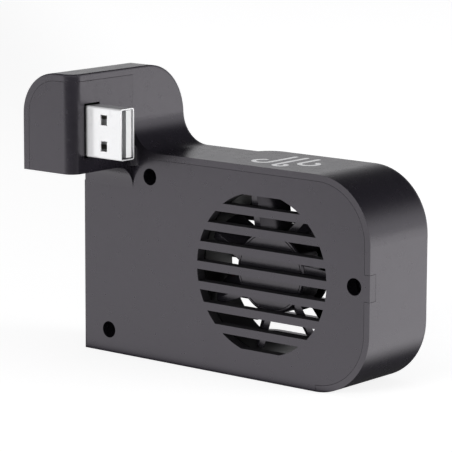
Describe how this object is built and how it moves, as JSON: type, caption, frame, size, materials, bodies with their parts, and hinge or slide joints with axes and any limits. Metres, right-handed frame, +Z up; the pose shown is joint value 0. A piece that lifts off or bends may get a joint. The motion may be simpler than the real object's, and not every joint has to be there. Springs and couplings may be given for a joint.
{
  "type": "console cooling fan",
  "caption": "Flat fan box with a round slotted grille, rounded end and a raised side arm that carries a USB plug; it clips to a console's corner and draws air through it.",
  "frame": {"origin": "the point where the fan's axis meets the grille face, on the grille's middle bar", "axes": "+X right along the grille face towards the rounded end, +Y along the fan's axis from the grille face to the rear, +Z up towards the arm"},
  "size_m": [0.0855, 0.043, 0.0698],
  "materials": {
    "shell": "satin moulded graphite plastic",
    "fan_plastic": "satin moulded black plastic",
    "rotor_plastic": "satin moulded dark grey plastic",
    "screw_steel": "zinc plated",
    "core_steel": "oxidised steel sheet",
    "magnet": "bonded ferrite",
    "nylon": "natural nylon",
    "bronze": "sintered, oiled",
    "copper": "enamelled wire",
    "board": "green solder mask",
    "chip": "moulded epoxy",
    "plug_steel": "bright nickel plated sheet",
    "plug_plastic": "white moulded plastic",
    "contact_gold": "gold plated",
    "lead_red": "soft vinyl sleeve",
    "lead_black": "soft vinyl sleeve"
  },
  "bodies": {
    "box": {"rear_housing": "shell", "front_cover": "shell", "cover_screws": "screw_steel", "fan_frame": "fan_plastic", "fan_screws": "screw_steel", "sleeve_bearing": "bronze", "oil_washer": "nylon", "bearing_cap": "fan_plastic", "stator_core": "core_steel", "insulator_front": "nylon", "insulator_rear": "nylon", "stator_windings": "copper", "winding_pins": "bronze", "fan_board": "board", "driver_chip": "chip", "usb_shell": "plug_steel", "usb_insulator": "plug_plastic", "usb_contacts": "contact_gold", "usb_board": "board", "red_lead": "lead_red", "black_lead": "lead_black"},
    "rotor": {"impeller": "rotor_plastic", "rotor_yoke": "screw_steel", "rotor_magnet": "magnet", "rotor_shaft": "screw_steel", "retaining_clip": "nylon"}
  },
  "joints": [
    {"name": "rotor_spin", "type": "hinge", "parent": "box", "child": "rotor", "pos_m": [0, 0.008, 0], "axis": [0, -1, 0], "continuous": true}
  ]
}
